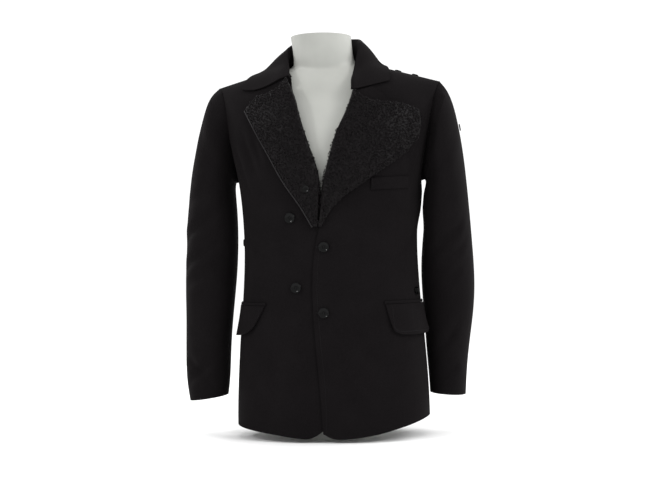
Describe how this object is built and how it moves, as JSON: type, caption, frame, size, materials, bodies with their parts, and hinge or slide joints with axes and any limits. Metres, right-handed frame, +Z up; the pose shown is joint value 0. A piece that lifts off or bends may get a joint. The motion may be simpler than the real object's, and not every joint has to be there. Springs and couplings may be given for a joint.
{
  "type": "blazer on a dress form",
  "caption": "Single-breasted wool blazer with notched lapels faced in curly pile, flap pockets and set-in sleeves, worn on a limbless torso dress form.",
  "frame": {"origin": "centre of the dress form's flat underside, which the part stands on", "axes": "+Z up, the front of the blazer faces -Y, the wearer's left is +X"},
  "size_m": [0.5668, 0.253, 0.7804],
  "materials": {
    "wool_melton": "matte black melton wool, fulled and lightly brushed",
    "curly_pile": "black curly pile with curls of 4 to 6 mm",
    "piping_leather": "smooth black leather with a soft sheen",
    "button_resin": "polished black polyester resin",
    "form_shell": "smooth satin off-white moulded shell"
  },
  "bodies": {
    "root": {"dress_form": "form_shell", "back_left": "wool_melton", "back_right": "wool_melton", "front_left": "wool_melton", "front_right": "wool_melton", "sleeve_left": "wool_melton", "sleeve_right": "wool_melton", "collar": "wool_melton", "lapel_left": "wool_melton", "lapel_right": "wool_melton", "facing_left": "curly_pile", "facing_right": "curly_pile", "lapel_piping": "piping_leather", "welt_pocket": "wool_melton", "flap_left": "wool_melton", "flap_right": "wool_melton", "jet_left": "wool_melton", "jet_right": "wool_melton", "button_close_upper": "button_resin", "button_close_lower": "button_resin", "button_show_upper": "button_resin", "button_show_lower": "button_resin", "button_lapel": "button_resin", "button_pocket": "button_resin", "button_waist": "button_resin", "button_shoulder_inner": "button_resin", "button_shoulder_outer": "button_resin", "button_sleeve": "button_resin"}
  },
  "joints": []
}
